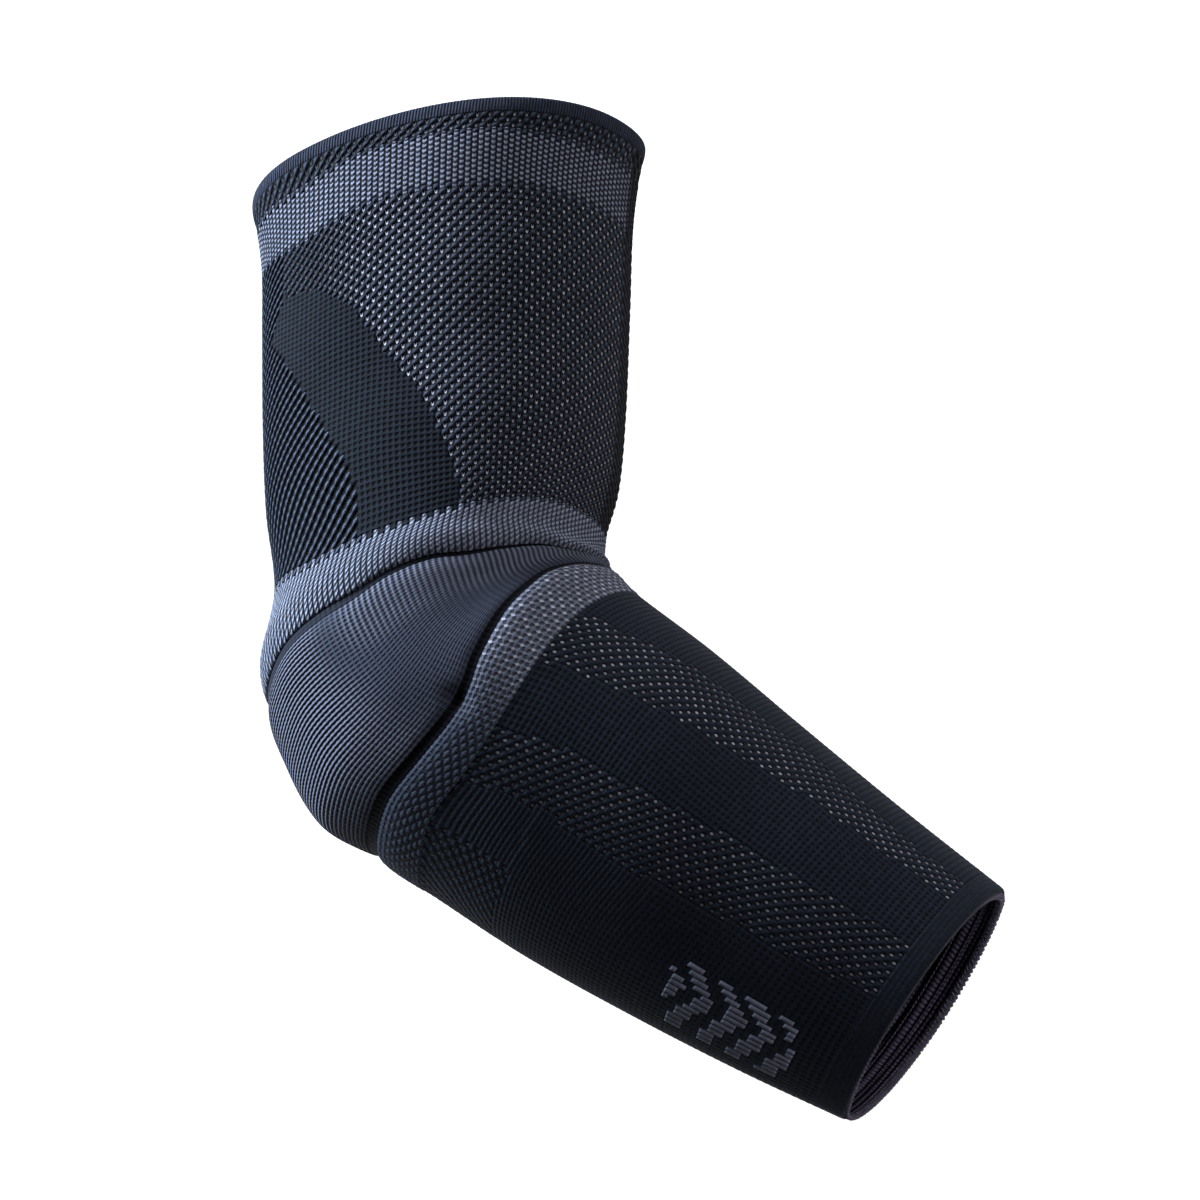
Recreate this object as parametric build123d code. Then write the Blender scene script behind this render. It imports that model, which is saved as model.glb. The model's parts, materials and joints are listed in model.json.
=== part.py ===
from build123d import *
import math
import os
import numpy as np

# A knitted compression sleeve for the elbow, bent as it is worn and lying on its side.
# Millimetres.  +Z points up and runs along the elbow's turning axis; the upper arm part
# of the sleeve points along +Y and the forearm part bends away towards +X.

# ---- driving dimensions ----
rest_bend = 52.0            # degrees that the forearm part is bent away from straight
upper_length = 151.0        # elbow axis to the middle of the upper opening
forearm_length = 142.5      # elbow axis to the middle of the forearm opening
upper_end_width = 103.0     # across the flared upper opening
upper_width = 95.0          # across the upper arm tube
above_elbow_width = 83.0    # across the tube just above the elbow
crease_reach = 50.5         # elbow axis to the crease in the bend
back_reach = 45.0           # elbow axis to the back of the tube above the point
point_reach = 49.0          # elbow axis to the point of the elbow
below_elbow_width = 92.0    # across the widest part of the forearm
forearm_end_width = 71.5    # across the forearm opening
upper_depth = 68.0          # height of the tube at the upper opening
elbow_depth = 78.0          # height of the tube at the elbow
forearm_end_depth = 51.0    # height of the tube at the forearm opening
end_slant = 19.0            # how much longer the front of the upper tube is than the back

wall = 1.4                  # thickness of the knit
crease_wall = 2.6           # the same, measured across the folded front edge
gap = 0.2                   # between two knit zones, and between two layers
padding_gap = 0.5           # between the cap and the soft layer behind it

welt_width = 5.0            # turned edge at the upper opening
cuff_width = 7.0            # coarse band below the welt
tension_width = 14.5        # grey band below that
elbow_band_width = 11.0     # grey bands each side of the cap
cap_width = 28.0            # elbow cap along the back of the elbow
upper_line_width = 1.3      # dark lines that edge the cap
lower_line_width = 1.8
patch_length = 18.0         # short patterned patch below the elbow point
forearm_welt_width = 5.6    # turned edge at the forearm opening
overlock_width = 2.2        # stitched raw edge inside the forearm opening
overlock_height = 1.3
hem_thickness = 0.8         # turned-in layer behind each welt
hem_width = 11.0
forearm_hem_width = 4.0
padding_thickness = 3.0     # soft layer behind the cap
padding_margin = 4.0
emblem_length = 34.0        # plain woven badge on the forearm
emblem_thickness = 0.4
emblem_gap = 0.12

back_edge_power = 0.50      # 0.5 is a round edge, a larger power a sharper one
end_back_edge_power = 0.62
front_edge_power = 0.66

across_points = 15          # points on each half of a section
mm_per_section = 6.0        # spacing of the sections along the sleeve


# ---- the sleeve as a surface ----
# Stations run down the sleeve.  Each one has a point on its back edge, a point on its
# front edge, half its height, and how sharp its back edge is.
forearm_turn = math.radians(rest_bend - 90)
crease_turn = math.radians(37.5)


def on_upper(along, back):
    # a point measured up the upper arm from the elbow axis, and back from it
    return np.array([-back, along])


def on_forearm(along, back):
    # a point measured down the forearm from the elbow axis, and back from it
    direction = np.array([math.cos(forearm_turn), math.sin(forearm_turn)])
    backward = np.array([math.sin(forearm_turn), -math.cos(forearm_turn)])
    return along * direction + back * backward


def on_arc(degrees, reach):
    turn = math.radians(degrees)
    return reach * np.array([math.cos(turn), math.sin(turn)])


stations = []


def upper_station(share, width, slant_share, half_height):
    along = share * upper_length
    slant = slant_share * end_slant / 2
    back = on_upper(along - slant, width / 2 + upper_offset)
    front = on_upper(along + slant, upper_offset - width / 2)
    stations.append((back, front, half_height, back_edge_power))


def elbow_station(degrees, reach, front_along, front_across):
    crease = crease_reach * np.array([math.cos(crease_turn), math.sin(crease_turn)])
    front = crease + np.array([front_across, front_along])
    stations.append((on_arc(degrees, reach), front, elbow_depth / 2, back_edge_power))


def forearm_station(back_along, back, front_along, front, half_height, power):
    stations.append((on_forearm(back_along, back), on_forearm(front_along, -front), half_height, power))


def between(low, high, share):
    return low + share * (high - low)


upper_offset = 1.5
upper_half = upper_depth / 2
elbow_half = elbow_depth / 2
end_half = forearm_end_depth / 2
end_back = 0.40 * forearm_end_width
end_front = 0.60 * forearm_end_width

upper_station(1.00, upper_end_width, 1.00, upper_half)
upper_station(0.85, upper_width + 2, 0.80, between(upper_half, elbow_half, 0.1))
upper_station(0.69, upper_width, 0.45, between(upper_half, elbow_half, 0.3))
upper_station(0.49, between(upper_width, above_elbow_width, 0.2), 0.25, between(upper_half, elbow_half, 0.5))
upper_station(0.33, between(upper_width, above_elbow_width, 0.5), 0.40, between(upper_half, elbow_half, 0.75))
upper_station(0.21, above_elbow_width, 0.95, between(upper_half, elbow_half, 0.95))
elbow_station(180, back_reach, 3.8, -0.8)
elbow_station(204, back_reach, 1.4, -0.6)
elbow_station(230, point_reach, -0.5, -0.1)
elbow_station(248, point_reach + 0.5, -2.8, 1.5)
forearm_station(0.23 * forearm_length, 0.505 * below_elbow_width, 0.17 * forearm_length,
                0.505 * below_elbow_width, between(elbow_half, end_half, 0.08), back_edge_power)
forearm_station(0.42 * forearm_length, 0.485 * below_elbow_width, 0.34 * forearm_length,
                0.505 * below_elbow_width, between(elbow_half, end_half, 0.26), 0.51)
forearm_station(0.64 * forearm_length, between(end_back, 0.485 * below_elbow_width, 0.70),
                0.55 * forearm_length, between(end_front, 0.505 * below_elbow_width, 0.60),
                between(elbow_half, end_half, 0.52), 0.53)
forearm_station(0.83 * forearm_length, between(end_back, 0.485 * below_elbow_width, 0.38),
                0.77 * forearm_length, between(end_front, 0.505 * below_elbow_width, 0.20),
                between(elbow_half, end_half, 0.76), 0.57)
forearm_station(1.015 * forearm_length, end_back, 0.99 * forearm_length, end_front,
                end_half, end_back_edge_power)

station_values = np.array([[*back, *front, half, power] for back, front, half, power in stations])
middles = (station_values[:, 0:2] + station_values[:, 2:4]) / 2
steps = np.linalg.norm(np.diff(middles, axis=0), axis=1)
station_places = np.concatenate([[0.0], np.cumsum(steps)])
sleeve_end = station_places[-1]
elbow_place = (station_places[7] + station_places[8]) / 2


def station_slopes():
    slopes = []
    last = len(station_places) - 1
    for index in range(last + 1):
        before = max(index - 1, 0)
        after = min(index + 1, last)
        rise = station_values[after] - station_values[before]
        slopes.append(rise / (station_places[after] - station_places[before]))
    return np.array(slopes)


slopes_at_stations = station_slopes()


def section_at(place):
    # a smooth cubic through the stations, at a distance down the middle of the sleeve
    index = int(np.clip(np.searchsorted(station_places, place, side="right") - 1, 0, len(stations) - 2))
    span = station_places[index + 1] - station_places[index]
    share = (place - station_places[index]) / span
    low = (2 * share**3 - 3 * share**2 + 1) * station_values[index]
    low_slope = (share**3 - 2 * share**2 + share) * span * slopes_at_stations[index]
    high = (3 * share**2 - 2 * share**3) * station_values[index + 1]
    high_slope = (share**3 - share**2) * span * slopes_at_stations[index + 1]
    return low + low_slope + high + high_slope


def sleeve_point(place, turn, depth=0.0):
    # turn is 0 on the back edge and 180 degrees on the front edge, and on top between them;
    # depth is measured inwards from the outer face
    values = section_at(place)
    back, front, half, back_power = values[0:2], values[2:4], values[4], values[5]
    across = (front - back) / np.linalg.norm(front - back)
    inner_back = back + across * depth
    inner_front = front - across * depth * crease_wall / wall
    share = (1 - math.cos(turn)) / 2
    power = between(back_power, front_edge_power, share)
    rise = abs(math.sin(turn)) ** (2 * power) * math.copysign(1, math.sin(turn))
    flat = between(inner_back, inner_front, share)
    return Vector(flat[0], flat[1], half + (half - depth) * rise)


def turn_for(across_share):
    # across_share is -1 at the back edge and +1 at the front edge
    return math.acos(max(-1.0, min(1.0, -across_share)))


# ---- solids between two depths of the sleeve ----
def limit(value, place_or_share):
    return value(place_or_share) if callable(value) else value


def place_between(start, stop, share, turn):
    across_share = -math.cos(turn)
    return between(limit(start, across_share), limit(stop, across_share), share)


def half_turns():
    return [math.pi * index / (across_points - 1) for index in range(across_points)]


def curve(points):
    last = len(points) - 1
    return Edge.make_spline(points, parameters=[index / last for index in range(last + 1)])


def section_count(start, stop):
    length = limit(stop, -1.0) - limit(start, -1.0)
    return max(3, int(math.ceil(length / mm_per_section)) + 1)


def close_up(shells, caps):
    faces = [face for shell in shells for face in shell.faces()]
    return Solid(Shell(faces + caps))


def ring(start, stop, outer=0.0, inner=wall):
    # a zone that goes right round the sleeve
    count = section_count(start, stop)
    shells = []
    ends = []
    for depth in (outer, inner):
        wires = []
        for index in range(count):
            halves = []
            for side in (1, -1):
                points = []
                for turn in half_turns():
                    place = place_between(start, stop, index / (count - 1), turn)
                    points.append(sleeve_point(place, side * turn, depth))
                halves.append(curve(points))
            wires.append((halves, Wire(halves)))
        shells.append(Shell.make_loft([wire for halves, wire in wires]))
        ends.append((wires[0][0], wires[-1][0]))
    caps = []
    for end in (0, 1):
        for half in (0, 1):
            caps.append(Face.make_surface_from_curves(ends[0][end][half], ends[1][end][half]))
    return close_up(shells, caps)


def panel(start, stop, low, high, outer=0.0, inner=wall):
    # a zone with two long edges; low and high are turns, or functions of the place
    count = section_count(start, stop)
    points_across = 2 * across_points - 1
    wires = []
    ends = []
    for index in range(count):
        rows = {outer: [], inner: []}
        for across in range(points_across):
            place = place_between(start, stop, index / (count - 1), math.pi / 2)
            for attempt in range(3):
                turn = between(limit(low, place), limit(high, place), across / (points_across - 1))
                place = place_between(start, stop, index / (count - 1), turn)
            for depth in (outer, inner):
                rows[depth].append(sleeve_point(place, turn, depth))
        top = curve(rows[outer])
        bottom = curve(rows[inner])
        sides = [Edge.make_line(rows[outer][end], rows[inner][end]) for end in (-1, 0)]
        wires.append(Wire([top, sides[0], bottom, sides[1]]))
        ends.append((top, bottom))
    shell = Shell.make_loft(wires)
    caps = [Face.make_surface_from_curves(*ends[end]) for end in (0, -1)]
    return close_up([shell], caps)


def along_line(*corners):
    # a zone edge that runs down the sleeve, through (place, across share) corners
    places = [corner[0] for corner in corners]
    shares = [corner[1] for corner in corners]
    return lambda place: turn_for(float(np.interp(place, places, shares)))


def spread(edge, distance):
    # the same edge, moved towards the front by a distance on the surface
    def moved(place):
        turn = edge(place)
        here = sleeve_point(place, turn)
        there = sleeve_point(place, turn + 0.01)
        return turn + 0.01 * distance / (there - here).length
    return moved


def other_side(edge):
    return lambda place: -edge(place)


def later(edge, distance):
    # an edge that runs round the sleeve, moved down it by a distance on the surface
    def moved(across_share):
        place = limit(edge, across_share)
        turn = turn_for(across_share)
        here = sleeve_point(place, turn)
        there = sleeve_point(place + 1.0, turn)
        return place + distance / (there - here).length
    return moved


# ---- zone edges ----
# round the sleeve, as distances down its middle
welt_stop = welt_width
cuff_stop = welt_stop + cuff_width
tension_stop = cuff_stop + tension_width
cap_start_back = elbow_place - cap_width * 0.43
cap_stop_back = elbow_place + cap_width * 0.57
band_start = cap_start_back - elbow_band_width
band_stop = cap_stop_back + elbow_band_width
forearm_welt_start = sleeve_end - forearm_welt_width


def cap_start(across_share):
    # the upper edge of the cap swings down to the crease at the front
    return cap_start_back + 0.74 * cap_width * ((1 + across_share) / 2) ** 4


def cap_stop(across_share):
    # the lower edge of the cap swings up a little on its way to the crease
    return cap_stop_back - 0.12 * cap_width * math.sin(math.pi * (1 + across_share) / 2) ** 2


# down the sleeve, as (place, across share) corners from the back edge to the front one
panel_length = band_start - tension_stop


def panel_place(share):
    return tension_stop + share * panel_length


def forearm_place(share):
    return between(band_stop, forearm_welt_start, share)


rib_edge = along_line((panel_place(0.0), -0.90), (panel_place(0.30), -0.93), (panel_place(0.60), -0.72),
                      (panel_place(0.80), -0.55), (panel_place(1.0), -0.44))
mesh_edge = along_line((panel_place(0.0), -0.86), (panel_place(0.20), -0.75), (panel_place(0.36), -0.45),
                       (panel_place(0.60), -0.14), (panel_place(1.0), 0.16))
stripe_a_front = along_line((forearm_place(0.0), 0.44), (forearm_place(0.20), 0.60),
                            (forearm_place(0.42), 0.71), (forearm_place(1.0), 0.67))
stripe_a_back = along_line((forearm_place(0.0), 0.06), (forearm_place(0.16), 0.20),
                           (forearm_place(0.45), 0.35), (forearm_place(1.0), 0.46))
stripe_b_front = along_line((forearm_place(0.0), -0.34), (forearm_place(0.18), -0.22),
                            (forearm_place(0.60), -0.08), (forearm_place(1.0), 0.0))
stripe_b_back = along_line((forearm_place(0.0), -0.63), (forearm_place(0.18), -0.56),
                           (forearm_place(0.45), -0.54), (forearm_place(1.0), -0.41))
patch_edge = along_line((forearm_place(0.0), -0.84), (forearm_place(1.0), -0.84))
padding_edge = along_line((0.0, 0.05), (sleeve_end, 0.05))
emblem_place = forearm_place(0.50)
emblem_back = along_line((emblem_place, -0.90), (emblem_place + emblem_length, -0.86))
emblem_front = along_line((emblem_place, -0.66), (emblem_place + emblem_length, -0.60))

parts = {}


def add_both_sides(name, start, stop, low, high):
    parts["lateral_" + name] = panel(start, stop, low, high)
    parts["medial_" + name] = panel(start, stop, other_side(low), other_side(high))


def wrap_back(start, stop, edge, outer=0.0, inner=wall):
    return panel(start, stop, other_side(edge), edge, outer, inner)


def wrap_front(start, stop, edge):
    return panel(start, stop, edge, lambda place: 2 * math.pi - edge(place))


# ---- upper arm ----
parts["upper_welt"] = ring(0.0, welt_stop)
parts["upper_cuff_band"] = ring(welt_stop + gap, cuff_stop)
parts["upper_tension_band"] = ring(cuff_stop + gap, tension_stop)
hem_outer = wall + gap
parts["upper_hem"] = ring(0.5, 0.5 + hem_width, hem_outer, hem_outer + hem_thickness)

body_start = tension_stop + gap
parts["posterior_rib_panel"] = wrap_back(body_start, band_start, rib_edge)
add_both_sides("side_panel", body_start, band_start, spread(rib_edge, gap), mesh_edge)
parts["anterior_mesh_panel"] = wrap_front(body_start, band_start, spread(mesh_edge, gap))

# ---- elbow ----
parts["elbow_upper_band"] = ring(band_start + gap, later(cap_start, -upper_line_width - gap))
parts["elbow_upper_line"] = ring(later(cap_start, -upper_line_width), cap_start)
parts["elbow_cap"] = ring(later(cap_start, gap), cap_stop)
parts["elbow_lower_line"] = ring(later(cap_stop, gap), later(cap_stop, gap + lower_line_width))
parts["elbow_lower_band"] = ring(later(cap_stop, 2 * gap + lower_line_width), band_stop)
padding_outer = wall + padding_gap
parts["elbow_cap_padding"] = wrap_back(cap_start_back + padding_margin, cap_stop_back - padding_margin,
                                       padding_edge, padding_outer, padding_outer + padding_thickness)

# ---- forearm ----
forearm_start = band_stop + gap
forearm_stop = forearm_welt_start - gap
patch_stop = forearm_start + patch_length
parts["forearm_front_panel"] = wrap_front(forearm_start, forearm_stop, spread(stripe_a_front, gap))
add_both_sides("stripe_a", forearm_start, forearm_stop, spread(stripe_a_back, gap), stripe_a_front)
add_both_sides("plain_panel", forearm_start, forearm_stop, spread(stripe_b_front, gap), stripe_a_back)
add_both_sides("stripe_b", forearm_start, forearm_stop, spread(stripe_b_back, gap), stripe_b_front)
add_both_sides("gusset", forearm_start, patch_stop, spread(patch_edge, gap), stripe_b_back)
parts["elbow_point_patch"] = wrap_back(forearm_start, patch_stop, patch_edge)
parts["forearm_back_panel"] = wrap_back(patch_stop + gap, forearm_stop, stripe_b_back)
parts["forearm_welt"] = ring(forearm_welt_start, sleeve_end)
overlock_start = sleeve_end - overlock_width
parts["forearm_overlock"] = ring(overlock_start, sleeve_end, hem_outer, hem_outer + overlock_height)
parts["forearm_hem"] = ring(overlock_start - gap - forearm_hem_width, overlock_start - gap,
                            hem_outer, hem_outer + hem_thickness)
parts["lateral_emblem"] = panel(emblem_place, emblem_place + emblem_length, emblem_back, emblem_front,
                                -emblem_gap - emblem_thickness, -emblem_gap)

# ---- frame: the middle of the footprint, with the lowest point on the ground ----
boxes = [solid.bounding_box() for solid in parts.values()]
low = Vector(min(box.min.X for box in boxes), min(box.min.Y for box in boxes), min(box.min.Z for box in boxes))
high = Vector(max(box.max.X for box in boxes), max(box.max.Y for box in boxes), max(box.max.Z for box in boxes))
shift = Vector(-(low.X + high.X) / 2, -(low.Y + high.Y) / 2, -low.Z)

os.makedirs("parts", exist_ok=True)
for name, solid in parts.items():
    export_step(Pos(shift) * solid, "parts/" + name + ".step")

print("elbow axis at", round(shift.X, 3), round(shift.Y, 3))
print("box", high - low)
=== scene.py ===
import json
import math
import bpy
import numpy as np
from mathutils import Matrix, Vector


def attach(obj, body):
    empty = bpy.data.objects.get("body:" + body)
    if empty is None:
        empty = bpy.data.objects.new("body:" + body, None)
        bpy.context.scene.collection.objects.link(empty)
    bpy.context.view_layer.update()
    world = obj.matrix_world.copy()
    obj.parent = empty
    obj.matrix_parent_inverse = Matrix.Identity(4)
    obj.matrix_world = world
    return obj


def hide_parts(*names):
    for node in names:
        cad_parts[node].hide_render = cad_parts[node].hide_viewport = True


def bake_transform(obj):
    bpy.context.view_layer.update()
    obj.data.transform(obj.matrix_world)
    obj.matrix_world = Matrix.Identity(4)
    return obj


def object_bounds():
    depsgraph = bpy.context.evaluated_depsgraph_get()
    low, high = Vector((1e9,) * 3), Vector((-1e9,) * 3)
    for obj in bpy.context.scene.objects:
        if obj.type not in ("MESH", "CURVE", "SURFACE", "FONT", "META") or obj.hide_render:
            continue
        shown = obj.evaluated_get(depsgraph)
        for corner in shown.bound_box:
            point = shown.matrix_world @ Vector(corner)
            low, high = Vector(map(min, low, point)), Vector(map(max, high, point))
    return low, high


# A knitted compression sleeve for the elbow.  The knit is laid out stitch by stitch: every
# wale and course of the sleeve is a cell of one grid, and each piece takes its own cells.
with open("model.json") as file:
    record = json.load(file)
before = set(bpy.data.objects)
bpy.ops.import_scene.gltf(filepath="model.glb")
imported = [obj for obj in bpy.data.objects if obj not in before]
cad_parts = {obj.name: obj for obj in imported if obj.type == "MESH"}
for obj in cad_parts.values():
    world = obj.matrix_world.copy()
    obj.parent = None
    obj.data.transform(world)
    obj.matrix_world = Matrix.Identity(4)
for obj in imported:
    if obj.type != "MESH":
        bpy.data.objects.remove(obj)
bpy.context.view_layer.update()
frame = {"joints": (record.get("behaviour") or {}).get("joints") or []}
elbowJoint = frame["joints"][0]
hinge = np.array(elbowJoint["pos_m"])

sleeve = {
    "restBend": 52.0,           # degrees that the forearm is bent away from straight
    "upperLength": 151.0,       # millimetres from here on, as in the part
    "forearmLength": 142.5,
    "upperEndWidth": 103.0,
    "upperWidth": 95.0,
    "aboveElbowWidth": 83.0,
    "creaseReach": 50.5,
    "creaseTurn": 37.5,
    "backReach": 45.0,
    "pointReach": 49.0,
    "belowElbowWidth": 92.0,
    "forearmEndWidth": 71.5,
    "upperDepth": 68.0,
    "elbowDepth": 78.0,
    "forearmEndDepth": 51.0,
    "endSlant": 19.0,
    "upperOffset": 1.5,
    "wall": 1.4,
    "creaseWall": 2.6,
    "backPower": 0.50,
    "endBackPower": 0.62,
    "frontPower": 0.66,
}
stitches = {
    "upperHalf": 82,            # stitch columns from the back edge to the front edge
    "lowerHalf": 74,            # the same on the forearm
    "fine": 3,                  # mesh steps across and along each stitch
    "skew": 12.0,               # how far the forearm's courses lag at the back edge, mm
    "relaxed": 0.93,            # width and length of a stitch off the arm, over what it is here
}


# ---- the sleeve's shape ----
def throughPoints(where, knots, values):
    # a cubic between each two knots; the slope at a knot is the rise between its neighbours
    # over the run between them
    where = np.asarray(where, float)
    values = np.asarray(values, float)
    flat = values.ndim == 1
    if flat:
        values = values[:, None]
    order = np.arange(len(knots))
    before = np.maximum(order - 1, 0)
    after = np.minimum(order + 1, len(knots) - 1)
    slopes = (values[after] - values[before]) / (knots[after] - knots[before])[:, None]
    where = np.clip(where, knots[0], knots[-1])
    index = np.clip(np.searchsorted(knots, where, side="right") - 1, 0, len(knots) - 2)
    span = (knots[index + 1] - knots[index])[..., None]
    t = (where - knots[index])[..., None] / span
    found = ((2 * t**3 - 3 * t**2 + 1) * values[index] + (t**3 - 2 * t**2 + t) * span * slopes[index]
             + (3 * t**2 - 2 * t**3) * values[index + 1] + (t**3 - t**2) * span * slopes[index + 1])
    return found[..., 0] if flat else found


def between(low, high, share):
    return low + share * (high - low)


def sleeveStations():
    # rows of back edge x, y, front edge x, y, half height and back edge power, down the sleeve
    s = sleeve
    turn = math.radians(s["restBend"] - 90)
    crease = math.radians(s["creaseTurn"])
    half, elbowHalf, endHalf = s["upperDepth"] / 2, s["elbowDepth"] / 2, s["forearmEndDepth"] / 2
    power = s["backPower"]
    rows = []

    def upper(share, width, slantShare, height):
        along = share * s["upperLength"]
        slant = slantShare * s["endSlant"] / 2
        rows.append([-width / 2 - s["upperOffset"], along - slant,
                     width / 2 - s["upperOffset"], along + slant, height, power])

    def atElbow(degrees, reach, alongFront, acrossFront):
        a = math.radians(degrees)
        rows.append([reach * math.cos(a), reach * math.sin(a),
                     s["creaseReach"] * math.cos(crease) + acrossFront,
                     s["creaseReach"] * math.sin(crease) + alongFront, elbowHalf, power])

    def forearm(alongBack, back, alongFront, front, height, edge):
        c, n = math.cos(turn), math.sin(turn)
        rows.append([alongBack * c + back * n, alongBack * n - back * c,
                     alongFront * c - front * n, alongFront * n + front * c, height, edge])

    w, a = s["upperWidth"], s["aboveElbowWidth"]
    upper(1.00, s["upperEndWidth"], 1.00, half)
    upper(0.85, w + 2, 0.80, between(half, elbowHalf, 0.1))
    upper(0.69, w, 0.45, between(half, elbowHalf, 0.3))
    upper(0.49, between(w, a, 0.2), 0.25, between(half, elbowHalf, 0.5))
    upper(0.33, between(w, a, 0.5), 0.40, between(half, elbowHalf, 0.75))
    upper(0.21, a, 0.95, between(half, elbowHalf, 0.95))
    atElbow(180, s["backReach"], 3.8, -0.8)
    atElbow(204, s["backReach"], 1.4, -0.6)
    atElbow(230, s["pointReach"], -0.5, -0.1)
    atElbow(248, s["pointReach"] + 0.5, -2.8, 1.5)
    f, b = s["forearmLength"], s["belowElbowWidth"]
    endBack, endFront = 0.40 * s["forearmEndWidth"], 0.60 * s["forearmEndWidth"]
    forearm(0.23 * f, 0.505 * b, 0.17 * f, 0.505 * b, between(elbowHalf, endHalf, 0.08), power)
    forearm(0.42 * f, 0.485 * b, 0.34 * f, 0.505 * b, between(elbowHalf, endHalf, 0.26), 0.51)
    forearm(0.64 * f, between(endBack, 0.485 * b, 0.70), 0.55 * f, between(endFront, 0.505 * b, 0.60),
            between(elbowHalf, endHalf, 0.52), 0.53)
    forearm(0.83 * f, between(endBack, 0.485 * b, 0.38), 0.77 * f, between(endFront, 0.505 * b, 0.20),
            between(elbowHalf, endHalf, 0.76), 0.57)
    forearm(1.015 * f, endBack, 0.99 * f, endFront, endHalf, s["endBackPower"])
    return np.array(rows)


stations = sleeveStations()
middles = (stations[:, 0:2] + stations[:, 2:4]) / 2
stationPlaces = np.concatenate([[0.0], np.cumsum(np.linalg.norm(np.diff(middles, axis=0), axis=1))])
sleeveEnd = stationPlaces[-1]


def sleevePoint(place, turn, depth=0.0):
    # place runs down the middle of the sleeve; turn runs round it from the back edge, over the
    # top to the front edge at pi, and back underneath.  Across, the point is the share
    # (1 - cos turn) / 2 of the way from edge to edge; its height is the half height times
    # 1 plus sin turn to twice the edge power.  depth goes inwards from the outer face.
    place, turn = np.broadcast_arrays(np.asarray(place, float), np.asarray(turn, float))
    found = throughPoints(place, stationPlaces, stations)
    back, front = found[..., 0:2], found[..., 2:4]
    half, power = found[..., 4], found[..., 5]
    across = (front - back) / np.linalg.norm(front - back, axis=-1)[..., None]
    depth = np.broadcast_to(depth, place.shape)
    back = back + across * depth[..., None]
    front = front - across * (depth * sleeve["creaseWall"] / sleeve["wall"])[..., None]
    share = (1 - np.cos(turn)) / 2
    edge = between(power, sleeve["frontPower"], share)
    sine = np.where(np.abs(np.sin(turn)) < 1e-9, 0.0, np.sin(turn))
    rise = np.abs(sine) ** (2 * edge) * np.sign(sine)
    flat = back + (front - back) * share[..., None]
    return np.concatenate([flat, (half + (half - depth) * rise)[..., None]], -1)


def toRow(points):
    # millimetres round the elbow axis to metres in the row frame
    return points / 1000 + np.array([hinge[0], hinge[1], 0.0])


# ---- where the zones meet ----
def edgeRound(*pairs):
    # a zone edge that runs round the sleeve: its place for each share across, -1 back, +1 front
    shares = np.array([p[1] for p in pairs], float)
    places = np.array([p[0] for p in pairs], float)
    return lambda across: throughPoints(across, shares, places)


def edgeAlong(*pairs):
    # a zone edge that runs down the sleeve: its share across for each place
    places = np.array([p[0] for p in pairs], float)
    shares = np.array([p[1] for p in pairs], float)
    return lambda place: np.interp(place, places, shares)


lineHalf = {"upper": 0.7, "lower": 1.1}     # half widths of the two dark lines, mm of place
upperLine = edgeRound((138.4, -1), (137.0, -0.86), (137.3, -0.65), (138.0, -0.46), (137.6, -0.24),
                      (138.7, 0), (141.5, 0.19), (143.8, 0.41), (147.1, 0.65), (152.5, 0.79),
                      (157.5, 0.92), (159.5, 1))
lowerLine = edgeRound((166.0, -1), (166.0, -0.88), (166.9, -0.77), (167.8, -0.66), (168.9, -0.45),
                      (168.2, -0.28), (166.2, -0.14), (164.6, 0), (162.5, 0.2), (161.6, 0.37),
                      (161.0, 0.54), (163.2, 0.69), (165.5, 0.82), (166.5, 1))
courseLag = edgeAlong((185, 0), (200, 0.25), (235, 1.0), (262, 1.0), (287, 0.2), (293, 0))
waleDrift = edgeAlong((160, -0.16), (168, -0.12), (185, -0.03), (210, 0.0), (250, 0.02), (293, -0.03))


def lagged(place, across):
    # the courses trail towards the back edge: full lag there, none at the front edge, squared
    return place - stitches["skew"] * courseLag(place) * ((1 - across) / 2) ** 2


upperEdges = [
    edgeRound((0, -1), (0, 1)),
    edgeRound((5.0, -1), (5.0, 1)),
    edgeRound((12.8, -1), (14.4, -0.76), (11.4, -0.48), (11.2, 0), (11.4, 0.28), (12.6, 0.54), (13.8, 1)),
    edgeRound((26.8, -1), (30.4, -0.78), (28.0, -0.55), (25.9, -0.34),
              (25.9, 0.5), (26.6, 0.71), (28.0, 1)),
    edgeRound((122.2, -1), (126.1, -0.74), (127.5, -0.41), (128.2, -0.1), (127.5, 0.19), (126.4, 0.44),
              (125.0, 0.7), (124.7, 1)),
    lambda across: upperLine(across) - lineHalf["upper"],
    lambda across: upperLine(across) + lineHalf["upper"],
    lambda across: lowerLine(across) - lineHalf["lower"],
]
lowerEdges = [
    lambda across: lowerLine(across) - lineHalf["lower"],
    lambda across: lowerLine(across) + lineHalf["lower"],
    edgeRound((176.4, -1), (175.5, -0.85), (178.0, -0.58), (178.6, -0.25), (178.0, 0.2), (178.4, 0.5),
              (180.0, 0.85), (180.4, 1)),
    edgeRound((sleeveEnd - 5.6, -1), (sleeveEnd - 5.6, 1)),
    edgeRound((sleeveEnd, -1), (sleeveEnd, 1)),
]
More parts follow.
